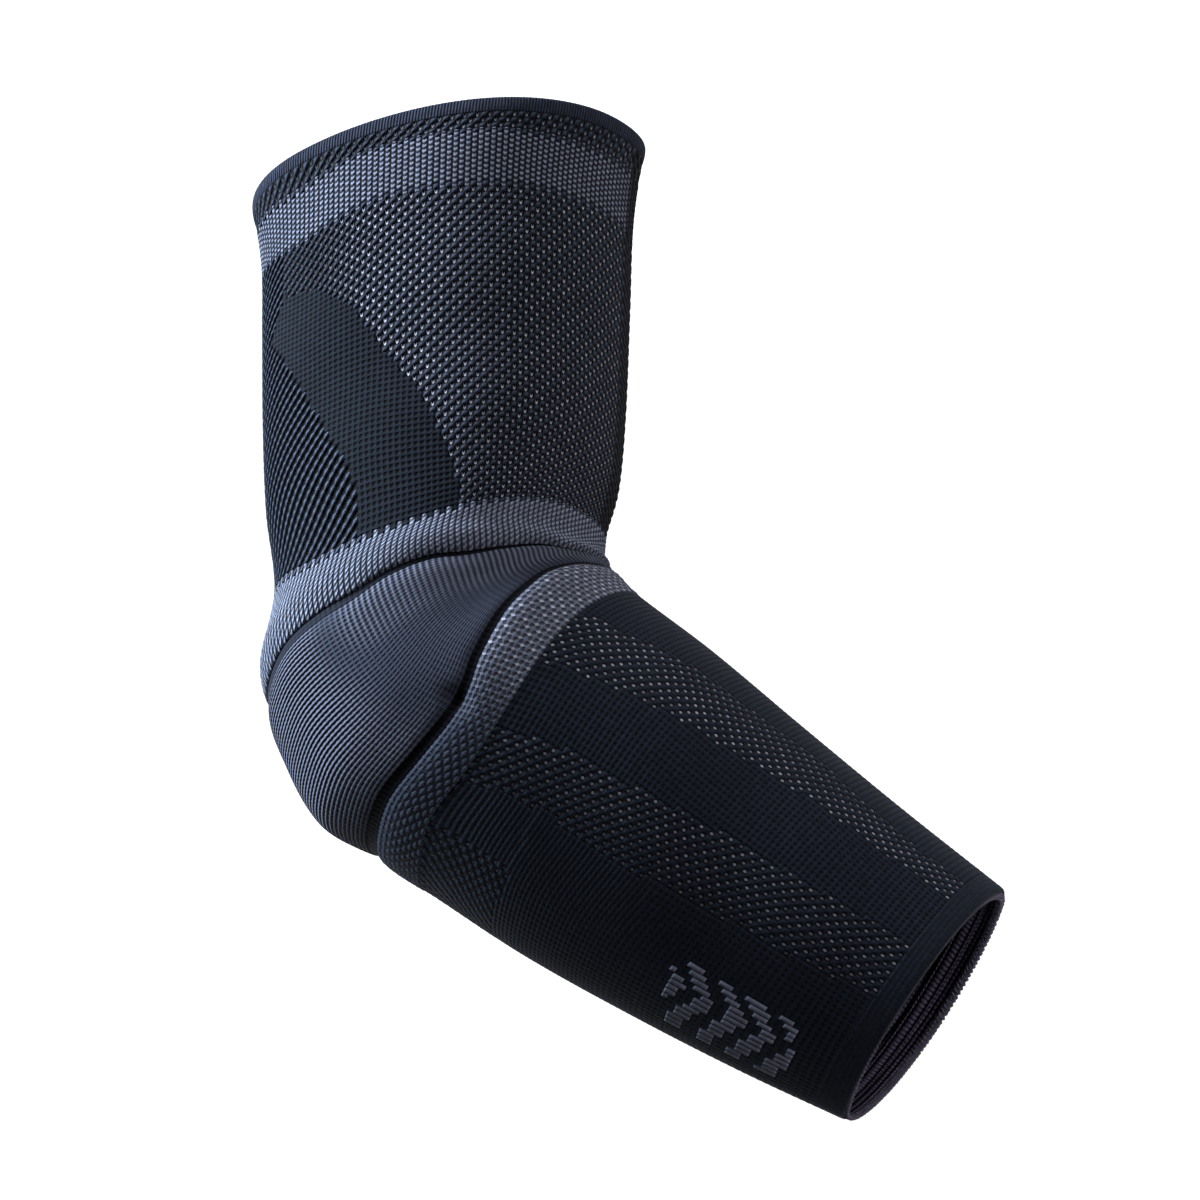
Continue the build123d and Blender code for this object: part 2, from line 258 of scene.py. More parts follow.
# the band of the sleeve between each two of those edges, with its number of courses
upperBands = [("welt", 4), ("cuff", 4), ("tension", 9), ("upper", 59), ("upperBand", 9), ("upperLine", 1),
              ("cap", 38)]
lowerBands = [("lowerLine", 1), ("lowerBand", 9), ("forearm", 76), ("endWelt", 5)]
ribEdge = edgeAlong((26, -0.86), (47.6, -0.88), (58.2, -0.94), (72.2, -0.82), (86.2, -0.71),
                    (96.7, -0.61), (105.1, -0.53), (114.2, -0.48), (128, -0.43))
meshEdge = edgeAlong((26, -0.86), (47.6, -0.86), (48.5, -0.73), (53.2, -0.61), (62.4, -0.45), (76.4, -0.30),
                     (85.5, -0.16), (94.6, -0.06), (104.4, 0.02), (114.2, 0.09), (128, 0.17))
stripeEdges = {
    "aFront": edgeAlong((178, 0.44), (184, 0.50), (193, 0.56), (207, 0.65), (216, 0.69), (237, 0.74),
                        (260, 0.69), (275, 0.66), (289, 0.67)),
    "aBack": edgeAlong((179, 0.06), (185, 0.11), (197, 0.20), (214, 0.28), (229, 0.35), (244, 0.40),
                       (257, 0.43), (288, 0.46)),
    "bFront": edgeAlong((179, -0.34), (189, -0.28), (198, -0.23), (207, -0.20), (218, -0.18), (226, -0.14),
                        (238, -0.10), (259, -0.05), (282, 0.0)),
    "bBack": edgeAlong((180, -0.63), (191, -0.57), (197, -0.55), (224, -0.54), (238, -0.51), (261, -0.47),
                       (271, -0.45), (282, -0.41)),
}
patch = {"back": -0.84, "stop": 196.0}
badge = {"start": 240.0, "stop": 275.0, "back": -0.992, "front": -0.75, "bars": 4}


# ---- the stitch grids ----
fineStep = stitches["fine"]
denseTurn = np.linspace(0, math.pi, 361)


def stitchCloth(edges, bands, halfWales, lag, drift):
    # one grid of stitches.  Each fine row lies between two zone edges at its share of the way;
    # the wales share out the row's length, moved by drift times w (1 - w^4) for wale share w
    fine = fineStep
    rowsOfBands = [courses * fine for name, courses in bands]
    index = np.concatenate([np.full(rows, k) for k, rows in enumerate(rowsOfBands)] + [[len(bands) - 1]])
    share = np.concatenate([np.arange(rows) / rows for rows in rowsOfBands] + [[1.0]])
    across = -np.cos(denseTurn)
    edgePlaces = np.array([edge(across) for edge in edges])
    place = edgePlaces[index] + share[:, None] * (edgePlaces[index + 1] - edgePlaces[index])
    if lag:
        place = lagged(place, across)
    points = sleevePoint(place, denseTurn[None, :])
    steps = np.linalg.norm(np.diff(points, axis=1), axis=-1)
    run = np.concatenate([np.zeros((len(index), 1)), np.cumsum(steps, axis=1)], axis=1)
    half = halfWales * fine
    w = np.linspace(0, 1, half + 1)
    rowDrift = drift(place[:, 180]) if drift else np.zeros(len(index))
    target = w[None, :] * (1 + rowDrift[:, None] * (1 - w[None, :] ** 4))
    topTurn = np.array([np.interp(t, r / r[-1], denseTurn) for t, r in zip(target, run)])
    topPlace = np.array([np.interp(t, denseTurn, p) for t, p in zip(topTurn, place)])
    cloth = {"rows": len(index), "columns": 2 * half, "halfWales": halfWales, "wales": 2 * halfWales,
             "courses": (len(index) - 1) // fine, "bands": [name for name, courses in bands]}
    cloth["turn"] = np.concatenate([topTurn, 2 * math.pi - topTurn[:, half - 1:0:-1]], axis=1)
    cloth["place"] = np.concatenate([topPlace, topPlace[:, half - 1:0:-1]], axis=1)
    cloth["across"] = -np.cos(cloth["turn"])
    cloth["band"] = np.concatenate([np.full(courses, k) for k, (name, courses) in enumerate(bands)])
    cloth["first"] = {name: int(np.argmax(cloth["band"] == k)) for k, name in enumerate(cloth["bands"])}
    return cloth


print("laying out the stitches")
upperCloth = stitchCloth(upperEdges, upperBands, stitches["upperHalf"], False, None)
lowerCloth = stitchCloth(lowerEdges, lowerBands, stitches["lowerHalf"], True, waleDrift)
cloths = [upperCloth, lowerCloth]

zoneNames = ["upper_welt", "upper_cuff_band", "upper_tension_band", "posterior_rib_panel",
             "lateral_side_panel", "medial_side_panel", "anterior_mesh_panel", "elbow_upper_band",
             "elbow_upper_line", "elbow_cap", "elbow_lower_line", "elbow_lower_band",
             "forearm_front_panel", "lateral_stripe_a", "medial_stripe_a", "lateral_plain_panel",
             "medial_plain_panel", "lateral_stripe_b", "medial_stripe_b", "lateral_gusset",
             "medial_gusset", "elbow_point_patch", "forearm_back_panel", "forearm_welt", "lateral_emblem"]
code = {name: index for index, name in enumerate(zoneNames)}
wholeBands = {"welt": "upper_welt", "cuff": "upper_cuff_band", "tension": "upper_tension_band",
              "upperBand": "elbow_upper_band", "upperLine": "elbow_upper_line", "cap": "elbow_cap",
              "lowerLine": "elbow_lower_line", "lowerBand": "elbow_lower_band", "endWelt": "forearm_welt"}


def zoneOfCells(cloth):
    # the zone that each stitch is knitted in, from its place and its share across
    middle = slice(fineStep // 2, cloth["rows"] - 1, fineStep), slice(fineStep // 2, None, fineStep)
    place, across = cloth["place"][middle], cloth["across"][middle]
    course, wale = np.indices(place.shape)
    lateral = wale < cloth["halfWales"]
    even = (course + wale) % 2 == 0
    first = cloth["first"]
    zone = np.zeros(place.shape, int)

    def where(bandName):
        return (cloth["band"] == cloth["bands"].index(bandName))[:, None] & np.ones(place.shape, bool)

    def sided(mask, name):
        zone[mask & lateral] = code["lateral_" + name]
        zone[mask & ~lateral] = code["medial_" + name]

    for bandName in cloth["bands"]:
        if bandName in wholeBands:
            zone[where(bandName)] = code[wholeBands[bandName]]
    if cloth is upperCloth:
        body = where("upper")
        zone[body] = code["anterior_mesh_panel"]
        sided(body & (across < meshEdge(place)), "side_panel")
        zone[body & (across < ribEdge(place))] = code["posterior_rib_panel"]
        # the grey bands end in teeth, on every other wale
        zone[(course == first["upper"]) & even] = code["upper_tension_band"]
        zone[(course == first["tension"] - 1) & even] = code["upper_tension_band"]
        zone[(course == first["upperBand"] - 1) & even] = code["elbow_upper_band"]
        return zone
    forearm = where("forearm")
    zone[forearm] = code["forearm_front_panel"]
    sided(forearm & (across < stripeEdges["aFront"](place)), "stripe_a")
    sided(forearm & (across < stripeEdges["aBack"](place)), "plain_panel")
    sided(forearm & (across < stripeEdges["bFront"](place)), "stripe_b")
    behind = forearm & (across < stripeEdges["bBack"](place))
    zone[behind] = code["forearm_back_panel"]
    beside = behind & (place < patch["stop"])
    sided(beside, "gusset")
    zone[beside & (across < patch["back"])] = code["elbow_point_patch"]
    # the plain badge: bars that bend in the middle, knitted in with grey yarn
    along = (place - badge["start"]) / (badge["stop"] - badge["start"])
    side = (across - badge["back"]) / (badge["front"] - badge["back"])
    bar = (along * badge["bars"] + np.abs(side - 0.5) * 1.6) % 1.0
    inside = (along > 0) & (along < 1) & (side > 0) & (side < 1) & lateral
    zone[inside & (bar < 0.5) & (zone == code["forearm_back_panel"])] = code["lateral_emblem"]
    return zone


for cloth in cloths:
    cloth["zone"] = zoneOfCells(cloth)


# ---- relief of the knit ----
relief = {                      # height of the loops in each zone, millimetres
    "rope": 0.26, "mesh": 0.20, "plain": 0.10, "bead": 0.24, "blob": 0.20, "fine": 0.09, "rib": 0.12,
    "line": -0.2, "spots": 0.1,
}


def smooth(value, low, high):
    t = np.clip((value - low) / (high - low), 0, 1)
    return t * t * (3 - 2 * t)


def reliefHeights(cloth):
    # height of each fine point above the plain surface, by the kind of knit of its stitch
    row, column = np.indices(cloth["place"].shape)
    u, v = column / fineStep, row / fineStep
    zone = cloth["zone"][np.minimum(row // fineStep, cloth["courses"] - 1), column // fineStep]
    riser = np.cos(math.pi * (u + v))          # ropes that lean to the front as they go up
    faller = -np.cos(math.pi * (u - v))
    column = np.abs(np.sin(math.pi * u))
    course = np.abs(np.sin(math.pi * v))
    height = np.zeros_like(u)

    def put(names, value):
        mask = np.isin(zone, [code[name] for name in names])
        height[mask] = value[mask]

    # ropes: 0.8 of the riser and 0.2 of the faller; loops: 0.6 and 0.4
    put(["posterior_rib_panel"], relief["rope"] * (0.8 * riser + 0.2 * faller))
    put(["anterior_mesh_panel", "upper_cuff_band"], relief["mesh"] * (0.6 * riser + 0.4 * faller))
    put(["lateral_side_panel", "medial_side_panel", "lateral_plain_panel", "medial_plain_panel",
         "lateral_gusset", "medial_gusset", "forearm_back_panel"],
        relief["plain"] * (column * course - 0.5))
    put(["upper_tension_band"], relief["bead"] * (column * (0.7 + 0.3 * course) - 0.3))
    bead = column * (0.75 + 0.25 * np.cos(2 * math.pi * (v + 0.5 * (np.floor(u) % 2)))) - 0.3
    put(["elbow_upper_band"], relief["blob"] * bead + 0.15)
    put(["elbow_lower_band"], 0.7 * relief["blob"] * (0.5 * riser + 0.5 * faller) + 0.15)
    put(["elbow_upper_line", "elbow_lower_line"], relief["line"] + 0 * u)
    ringShare = 1.3 - 1.1 * smooth(cloth["across"], -0.9, -0.45)
    put(["elbow_cap"], relief["fine"] * (course * ringShare + 0.6 * column - 0.8))
    put(["forearm_front_panel"], relief["plain"] * (0.8 * course + 0.2 * column - 0.5))
    put(["lateral_stripe_a", "medial_stripe_a", "lateral_stripe_b", "medial_stripe_b", "elbow_point_patch"],
        relief["spots"] * (0.5 * riser + 0.5 * faller))
    put(["upper_welt"], relief["rib"] * (np.abs(np.cos(math.pi * u)) - 0.5))
    put(["forearm_welt"], relief["plain"] * 0.5 * (column * course - 0.5))
    put(["lateral_emblem"], relief["plain"] * (column - 0.2))
    # the two cloths meet under the lower dark line
    height[-1 if cloth is upperCloth else 0] = relief["line"]
    return height, zone


swell = {"band": 0.8, "bandLow": 0.3, "welt": 0.5, "pucker": 1.2, "slack": 0.5}


def bump(value, centre, width):
    return np.exp(-((value - centre) / width) ** 2)


def swellHeights(cloth):
    # broad shape over the plain surface: the grey bands stand proud beside the dark lines, the
    # turned edges are rounded, and the cloth is a little slack above the crease
    gridPlace, across = cloth["place"], cloth["across"]
    upper = upperLine(across)
    lower = lowerLine(across)
    height = swell["band"] * bump(gridPlace, upper - 5.5, 4.0)
    height += 0.5 * swell["band"] * bump(gridPlace, upper + 4.0, 3.5)
    height += swell["bandLow"] * bump(gridPlace, lower + 5.0, 4.0)
    height -= 0.6 * bump(gridPlace, upper, 1.6) + 0.6 * bump(gridPlace, lower, 1.8)
    height += swell["welt"] * bump(gridPlace, 3.2, 3.0)
    height -= swell["pucker"] * bump(gridPlace, 168.5, 3.0) * bump(across, -0.36, 0.05)
    fold = np.sin(gridPlace / 9.0 + 2.5 * across) * np.sin(gridPlace / 23.0 + 1.0)
    height += swell["slack"] * fold * smooth(across, -1.0, -0.6) * smooth(-across, -0.98, -0.7)
    # the cut ends roll inwards over their last millimetre
    fromEnd = np.minimum(gridPlace, sleeveEnd - gridPlace)
    height -= 0.6 * (1 - np.sqrt(1 - (1 - np.clip(fromEnd / 1.3, 0, 1)) ** 2))
    return height


def outwardNormals(points):
    # cross product of the steps round and down the sleeve
    round_ = np.roll(points, -1, 1) - np.roll(points, 1, 1)
    down = np.gradient(points, axis=0)
    normal = np.cross(round_, down)
    normal /= np.linalg.norm(normal, axis=-1)[..., None] + 1e-12
    middle = points.mean(axis=1, keepdims=True)
    if np.mean(np.sum(normal * (points - middle), -1)) < 0:
        normal = -normal
    return normal


def fadeOfZones(cloth, zone):
    # how strongly the second pattern of a zone shows: light dots on mesh and stripes, ribs on the cap, and
    # the ground and gap tones of the grey bands and the upper line
    # it also carries painted shade: a dark strip down the front fold edge, below 0 on the mesh and cuff, at
    # 0 on the tension band
    place, across = cloth["place"], cloth["across"]
    fade = np.ones(place.shape)

    def put(name, value):
        mask = zone == code[name]
        fade[mask] = value[mask]

    below = place - upperLine(across)
    # the last term on the mesh, the tension band and the cuff is that painted shade down the front fold
    # edge
    put("anterior_mesh_panel", 0.15 + 0.85 * smooth(across, -0.72, -0.35) - 2 * smooth(across, 0.945, 0.97))
    put("upper_tension_band", 1 - smooth(across, 0.95, 0.975))
    put("upper_cuff_band", 0.12 + 0.45 * smooth(across, -0.45, 0.1) - 2 * smooth(across, 0.95, 0.975))
    put("elbow_cap", (1 - 0.5 * smooth(below, 5.0, 16.0)) * smooth(across, -0.9, -0.35))
    put("elbow_lower_band", smooth(across, -0.5, 0.1))
    put("elbow_upper_band", smooth(across, -0.7, -0.1))
    put("elbow_upper_line", 0.45 + 0.55 * smooth(across, -0.3, 0.1))
    for side in ("lateral", "medial"):
        put(side + "_stripe_a", 1.0 - 0.6 * smooth(across, 0.45, 0.75))
        put(side + "_stripe_b", 0.3 + 0.4 * smooth(across, -0.6, -0.3))
    put("elbow_point_patch", 0.3 + 0 * place)
    return fade


print("shaping the knit")
coarse = (slice(None, None, fineStep), slice(None, None, fineStep))
for cloth in cloths:
    plainOuter = sleevePoint(cloth["place"], cloth["turn"])
    plainInner = sleevePoint(cloth["place"], cloth["turn"], sleeve["wall"])
    normals = outwardNormals(plainOuter)
    loopHeight, fineZone = reliefHeights(cloth)
    broadHeight = swellHeights(cloth)
    cloth["plain"] = toRow(plainOuter[coarse])
    cloth["outer"] = toRow(plainOuter + normals * (loopHeight + broadHeight)[..., None])
    cloth["inner"] = toRow(plainInner[coarse] + normals[coarse] * broadHeight[coarse][..., None])
    cloth["fade"] = fadeOfZones(cloth, fineZone)


# ---- meshes ----
def meshFromFaces(name, points, corners, sizes, stitchUv, bakeUv, slots, flat, fade):
    mesh = bpy.data.meshes.new(name)
    mesh.vertices.add(len(points))
    mesh.vertices.foreach_set("co", points.astype(np.float32).ravel())
    mesh.loops.add(len(corners))
    mesh.loops.foreach_set("vertex_index", corners.astype(np.int32))
    mesh.polygons.add(len(sizes))
    starts = np.concatenate([[0], np.cumsum(sizes)[:-1]])
    mesh.polygons.foreach_set("loop_start", starts.astype(np.int32))
    mesh.polygons.foreach_set("material_index", slots.astype(np.int32))
    mesh.polygons.foreach_set("use_smooth", ~flat)
    mesh.update(calc_edges=True)
    for mapName, uv in (("Stitch", stitchUv), ("OFBake", bakeUv)):
        layer = mesh.uv_layers.new(name=mapName)
        layer.uv.foreach_set("vector", uv.astype(np.float32).ravel())
    if fade is not None:
        shade = mesh.attributes.new("fade", "FLOAT", "POINT")
        shade.data.foreach_set("value", fade.astype(np.float32))
    mesh.validate()
    piece = bpy.data.objects.new(name, mesh)
    bpy.context.scene.collection.objects.link(piece)
    return piece


def knitPiece(name, cloth, cells, finishes):
    # the stitches in cells as one closed piece: fine quads outside, one quad a stitch inside, and
    # a rim of one face a stitch wherever the next stitch belongs to another piece
    f = fineStep
    course, wale = np.nonzero(cells)
    waleCount, columnCount = cloth["wales"], cloth["columns"]
    outerCount = cloth["rows"] * columnCount
    step = np.arange(f + 1)
    row = course[:, None, None] * f + step[None, :, None]
    column = (wale[:, None, None] * f + step[None, None, :])
    fineId = row * columnCount + column % columnCount                      # cells, f + 1, f + 1
    fineU = column / f + 0 * row
    fineV = row / f + 0 * column
    quad = np.stack([fineId[:, :-1, :-1], fineId[:, :-1, 1:], fineId[:, 1:, 1:], fineId[:, 1:, :-1]], -1)
    quadU = np.stack([fineU[:, :-1, :-1], fineU[:, :-1, 1:], fineU[:, 1:, 1:], fineU[:, 1:, :-1]], -1)
    quadV = np.stack([fineV[:, :-1, :-1], fineV[:, :-1, 1:], fineV[:, 1:, 1:], fineV[:, 1:, :-1]], -1)
    quad, quadU, quadV = quad.reshape(-1, 4), quadU.reshape(-1, 4), quadV.reshape(-1, 4)

    def innerId(c, w):
        return outerCount + c * waleCount + w % waleCount

    back = np.stack([innerId(course, wale), innerId(course + 1, wale),
                     innerId(course + 1, wale + 1), innerId(course, wale + 1)], -1)
    backU = np.stack([wale, wale, wale + 1, wale + 1], -1).astype(float)
    backV = np.stack([course, course + 1, course + 1, course], -1).astype(float)
    padded = np.zeros((cloth["courses"] + 2, waleCount), bool)
    padded[1:-1] = cells
    rims, rimsU, rimsV = [], [], []
    sides = {
        "above": (~padded[course, wale], fineId[:, 0, :], (0, 0), (0, 1)),
        "below": (~padded[course + 2, wale], fineId[:, -1, ::-1], (1, 1), (1, 0)),
        "before": (~cells[course, (wale - 1) % waleCount], fineId[:, ::-1, 0], (1, 0), (0, 0)),
        "after": (~cells[course, (wale + 1) % waleCount], fineId[:, :, -1], (0, 1), (1, 1)),
    }
    for open_, edgeIds, start, stop in sides.values():
        c, w = course[open_], wale[open_]
        edge = edgeIds[open_][:, ::-1]
        first = innerId(c + start[0], w + start[1])
        last = innerId(c + stop[0], w + stop[1])
        rims.append(np.concatenate([edge, first[:, None], last[:, None]], 1))
        share = np.linspace(1, 0, f + 1)[None, :]
        edgeU = w[:, None] + between(start[1], stop[1], share)
        edgeV = c[:, None] + between(start[0], stop[0], share)
        ends = np.array([[start[1], stop[1]], [start[0], stop[0]]])
        rimsU.append(np.concatenate([edgeU, w[:, None] + ends[0][None, :]], 1))
        rimsV.append(np.concatenate([edgeV, c[:, None] + ends[1][None, :]], 1))
    rim, rimU, rimV = np.concatenate(rims), np.concatenate(rimsU), np.concatenate(rimsV)
    corners = np.concatenate([quad.ravel(), back.ravel(), rim.ravel()])
    sizes = np.concatenate([np.full(len(quad) + len(back), 4), np.full(len(rim), f + 3)])
    used, corners = np.unique(corners, return_inverse=True)
    allPoints = np.concatenate([cloth["outer"].reshape(-1, 3), cloth["inner"].reshape(-1, 3)])
    allFade = np.concatenate([cloth["fade"].ravel(), cloth["fade"][coarse].ravel()])
    u = np.concatenate([quadU.ravel(), backU.ravel(), rimU.ravel()])
    v = np.concatenate([quadV.ravel(), backV.ravel(), rimV.ravel()])
    # the bake map: outside in the upper part, inside below it, the rim in a strip of slots
    kind = np.repeat([0, 1, 2], [quad.size, back.size, rim.size])
    lowU, highU, lowV, highV = u.min(), u.max(), v.min(), v.max()
    if highU - lowU > 0.9 * waleCount or not cells[:, 0].any():
        mapU = (u - lowU) / (highU - lowU)
    else:                                       # the piece lies across the first wale
        turned = np.where(u > waleCount / 2 + 0.5, u - waleCount, u)
        mapU = (turned - turned.min()) / (turned.max() - turned.min())
    mapV = (v - lowV) / (highV - lowV)
    slotCount = max(len(rim), 1)
    rimX = (np.repeat(np.arange(len(rim)), f + 3) + 0.1 + 0.8 * (np.tile(np.arange(f + 3), len(rim)) <= f)
            * np.tile(np.minimum(np.arange(f + 3), f) / f, len(rim))
            + 0.8 * (np.tile(np.arange(f + 3), len(rim)) == f + 1)) / slotCount
    rimY = np.tile((np.arange(f + 3) <= f) * 0.012 + 0.003, len(rim))
    bakeX = np.where(kind < 2, 0.005 + 0.99 * mapU, 0)
    bakeY = np.where(kind == 0, 0.27 + 0.72 * mapV, np.where(kind == 1, 0.03 + 0.22 * mapV, 0))
    bakeX[kind == 2] = rimX
    bakeY[kind == 2] = rimY
    slots = np.repeat([0, 1, 0], [len(quad), len(back), len(rim)])
    flat = np.repeat([False, False, True], [len(quad), len(back), len(rim)])
    piece = meshFromFaces(name, allPoints[used], corners, sizes, np.stack([u, v], -1),
                          np.stack([bakeX, bakeY], -1), slots, flat, allFade[used])
    for finish in finishes:
        piece.data.materials.append(finish)
    piece.data.flip_normals()       # faces turned to look outwards
    return piece


# ---- shader maths ----
class Field:
    # a number that varies over the surface; sums and products of fields add Math nodes
    def __init__(self, finish, socket):
        self.finish = finish
        self.socket = socket

    def math(self, operation, *values):
        inputs = dict(enumerate(values))
        return self.finish.node("ShaderNodeMath", {"operation": operation}, inputs)

    def __add__(self, other):
        return self.math("ADD", self, other)

    def __radd__(self, other):
        return self.math("ADD", other, self)

    def __sub__(self, other):
        return self.math("SUBTRACT", self, other)

    def __rsub__(self, other):
        return self.math("SUBTRACT", other, self)

    def __mul__(self, other):
        return self.math("MULTIPLY", self, other)

    def __rmul__(self, other):
        return self.math("MULTIPLY", other, self)

    def __truediv__(self, other):
        return self.math("DIVIDE", self, other)

    def __mod__(self, other):
        return self.math("FLOORED_MODULO", self, other)

    def __abs__(self):
        return self.math("ABSOLUTE", self)

    def floor(self):
        return self.math("FLOOR", self)

    def fract(self):
        return self.math("FRACT", self)

    def sin(self):
        return self.math("SINE", self)

    def cos(self):
        return self.math("COSINE", self)

    def most(self, other):
        return self.math("MAXIMUM", self, other)

    def ramp(self, low, high):
        # 0 at low, 1 at high, eased between them
        return self.finish.node("ShaderNodeMapRange", {"interpolation_type": "SMOOTHSTEP"},
                                {"Value": self, "From Min": low, "From Max": high})


class Finish:
    def __init__(self, name):
        self.material = bpy.data.materials.new(name)
        self.material.use_nodes = True
        self.tree = self.material.node_tree
        self.tree.nodes.clear()

    def node(self, kind, settings=None, values=None, output=0):
        made = self.tree.nodes.new(kind)
        for key, value in (settings or {}).items():
            setattr(made, key, value)
        for key, value in (values or {}).items():
            if isinstance(value, Field):
                self.tree.links.new(value.socket, made.inputs[key])
            else:
                made.inputs[key].default_value = value
        return Field(self, made.outputs[output]) if len(made.outputs) else None

    def stitch(self):
        # position on the knit, in wales and courses
        where = self.node("ShaderNodeUVMap", {"uv_map": "Stitch"})
        return (self.node("ShaderNodeSeparateXYZ", {}, {0: where}, 0),
                self.node("ShaderNodeSeparateXYZ", {}, {0: where}, 1))

    def fade(self):
        return self.node("ShaderNodeAttribute", {"attribute_name": "fade"}, {}, 2)

    def noise(self, size, detail=3.0):
        # smooth noise from 0 to 1, with features about size metres across
        where = self.node("ShaderNodeTexCoord", {}, {}, 3)
        return self.node("ShaderNodeTexNoise", {}, {"Vector": where, "Scale": 1 / size, "Detail": detail})

    def perStitch(self, u, v):
        # a random number for each stitch
        cell = self.node("ShaderNodeCombineXYZ", {}, {0: u.floor(), 1: v.floor()})
        return self.node("ShaderNodeTexWhiteNoise", {"noise_dimensions": "3D"}, {"Vector": cell})

    def blend(self, factor, first, second):
        return self.node("ShaderNodeMix", {"data_type": "RGBA"}, {0: factor, 6: first, 7: second}, 2)

    def tinted(self, colour, factor):
        # a colour made lighter or darker by a number
        grey = self.node("ShaderNodeCombineColor", {}, {0: factor, 1: factor, 2: factor})
        return self.node("ShaderNodeMix", {"data_type": "RGBA", "blend_type": "MULTIPLY"},
                         {0: 1.0, 6: colour, 7: grey}, 2)

    def finished(self, colour, height, depth, roughness=0.8, sheen=0.02, gloss=0.07):
        # height from 0 to 1 is worth depth metres of bump
        bump = self.node("ShaderNodeBump", {}, {"Strength": 1.0, "Distance": depth, "Height": height})
        shader = self.node("ShaderNodeBsdfPrincipled", {}, {
            "Base Color": colour, "Roughness": roughness, "Normal": bump, "Sheen Weight": sheen,
            "Sheen Roughness": 0.5, "Sheen Tint": (0.55, 0.65, 0.9, 1), "Specular IOR Level": gloss})
        self.node("ShaderNodeOutputMaterial", {}, {"Surface": shader})
        return self.material


def rgb(red, green, blue):
    # screen values from 0 to 255 as the linear colour that a node wants
    share = np.array([red, green, blue]) / 255
    linear = np.where(share <= 0.04045, share / 12.92, ((share + 0.055) / 1.055) ** 2.4)
    return (*linear.tolist(), 1)


yarn = {
    "dark": rgb(60, 66, 81),
    # the rib panel's dark yarn, lightened as a painted highlight on the rope crests
    "rope": rgb(82, 91, 110),
    # this and the other gap colours are painted shade in the hollows between loops
    "gap": rgb(4, 5, 8),
    "dot": rgb(182, 182, 196),
    "grey": rgb(126, 130, 147),
    "greyGap": rgb(24, 26, 35),
    "cap": rgb(106, 110, 127),
    "capGap": rgb(48, 52, 65),
    # the dark yarn of the two lines, also used as painted shade down the front fold edge
    "line": rgb(14, 15, 21),
    "plain": rgb(22, 27, 36),
    "forearmGap": rgb(22, 25, 33),
    "lowBand": rgb(74, 80, 96),
    "forearm": rgb(33, 38, 49),
    "endWelt": rgb(32, 36, 46),
    "band": rgb(140, 145, 163),
    # lightened well past the dark yarn: painted light falling into the openings
    "inside": rgb(116, 108, 132),
    "insideGap": rgb(9, 8, 13),
    "welt": rgb(50, 55, 70),
    "overlock": rgb(150, 146, 166),
    "padding": rgb(52, 52, 62),
    "badge": rgb(140, 146, 166),
}


def varied(finish, colour, u, v, amount=0.22):
    # each stitch a little lighter or darker, with slow drifts over the cloth
    each = finish.perStitch(u, v) * amount + (1 - amount / 2)
    drift = finish.noise(0.018, 2.0) * 0.3 + 0.85
    return finish.tinted(colour, each * drift)


def ropes(u, v, riserShare):
    # loops between 0 and 1, joined along the rising diagonal by riserShare
    rising = ((u + v) * math.pi).cos() * (0.5 * riserShare)
    falling = ((u - v) * math.pi).cos() * (0.5 * (1 - riserShare))
    return rising - falling + 0.5


def hearts(u, v, wide=1.0):
    # a V-shaped stitch head on every other stitch, its point towards the elbow
    side = abs(u.fract() - 0.5)
    down = v.fract() - 0.5
    stroke = abs(down + side * 1.6 - 0.20)
    even = 1 - (u.floor() + v.floor()) % 2
    return (1 - stroke.ramp(0.12, 0.34)) * (1 - side.ramp(0.15 * wide, 0.29 * wide)) * even


def spots(u, v, size):
    # a soft oval on every other stitch
    side = u.fract() - 0.5
    down = v.fract() - 0.5
    reach = (side * side * 9 + down * down * 5) / size
    return (1 - reach.ramp(0.15, 0.8)) * (1 - (u.floor() + v.floor()) % 2)


def beads(u, v, slant, gap):
    # a column of beads on each wale, every column half a bead further on than the one before it
    side = abs(u.fract() - 0.5)
    column = 1 - side.ramp(gap, 0.48)
    along = v + (u.floor() % 2) * 0.5 + side * 0.6 + (u.fract() - 0.5) * slant
    return column * ((along * (2 * math.pi)).cos() * -0.4 + 0.6)


def fuzz(finish, height, amount=0.18):
    return height + finish.noise(0.00035, 2.0) * amount


def dotted(finish, ground, dots, shade):
    # the light dots over the ground, each a little different
    each = finish.perStitch(finish.stitch()[0], finish.stitch()[1]) * 0.6 + shade
    return finish.blend(dots, ground, finish.tinted(yarn["dot"], each))


def meshFinish():
    finish = Finish("darkMeshKnit")
    u, v = finish.stitch()
    loops = ropes(u, v, 0.62)
    dots = hearts(u, v)
    # painted shade: the gap colour where the loops are low
    colour = finish.blend(loops.ramp(0.4, 0.95), yarn["gap"], varied(finish, yarn["dark"], u, v))
    # below 0 the fade is painted shade: a dark strip down the front fold edge
    colour = finish.blend(finish.fade().ramp(-0.8, 0.0), yarn["line"], colour)
    colour = dotted(finish, colour, dots * finish.fade().most(0.0), 0.55)
    return finish.finished(colour, fuzz(finish, loops + dots * 0.4), 0.0013)


def ropeFinish():
    finish = Finish("darkRibKnit")
    u, v = finish.stitch()
    loops = ropes(u, v, 0.68)
    # painted shade in the gaps where the loops are low, and the lightened rope yarn as a painted highlight
    # on the crests
    colour = finish.blend(loops.ramp(0.36, 0.95), yarn["gap"], varied(finish, yarn["rope"], u, v))
    strand = abs((((u * 2 - v) * math.pi).sin())) * 0.12
    return finish.finished(colour, fuzz(finish, loops + strand), 0.0016)


def plainKnit(u, v):
    # small stitches with a hole where four of them meet; the finishes paint the hole dark as shade
    corner = abs((u * math.pi).cos()) * abs((v * math.pi).cos())
    return 1 - corner.ramp(0.25, 0.85)


